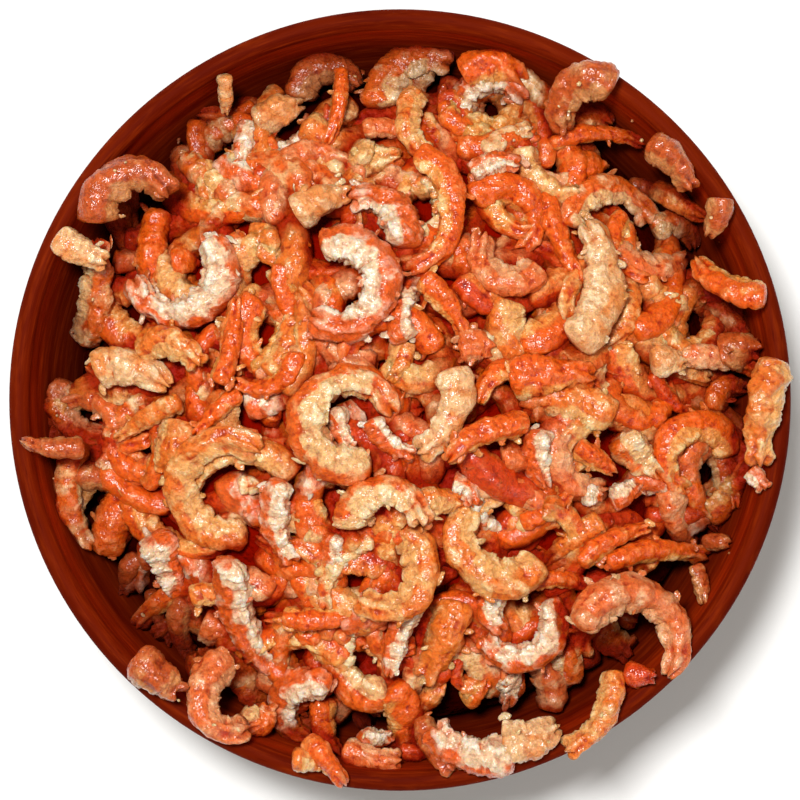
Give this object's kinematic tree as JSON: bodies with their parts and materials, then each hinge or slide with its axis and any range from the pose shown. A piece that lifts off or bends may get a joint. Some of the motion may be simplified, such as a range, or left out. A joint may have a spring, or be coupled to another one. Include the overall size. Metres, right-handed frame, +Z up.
{
  "type": "bowl of dried small shrimp",
  "caption": "Round turned wooden bowl on a flat foot, filled above its rim with a mound of curled, peeled dried shrimp.",
  "frame": {"origin": "middle of the flat foot, where the bowl rests", "axes": "+Z up out of the bowl, -Y towards the front"},
  "size_m": [0.157, 0.157, 0.0616],
  "materials": {
    "bowl_wood": "satin, dark reddish-brown, fine grain",
    "dried_shrimp": "wrinkled dried flesh, orange-red backs and cream undersides, slightly waxy"
  },
  "bodies": {
    "root": {"bowl": "bowl_wood", "shrimp_heap": "dried_shrimp"}
  },
  "joints": []
}
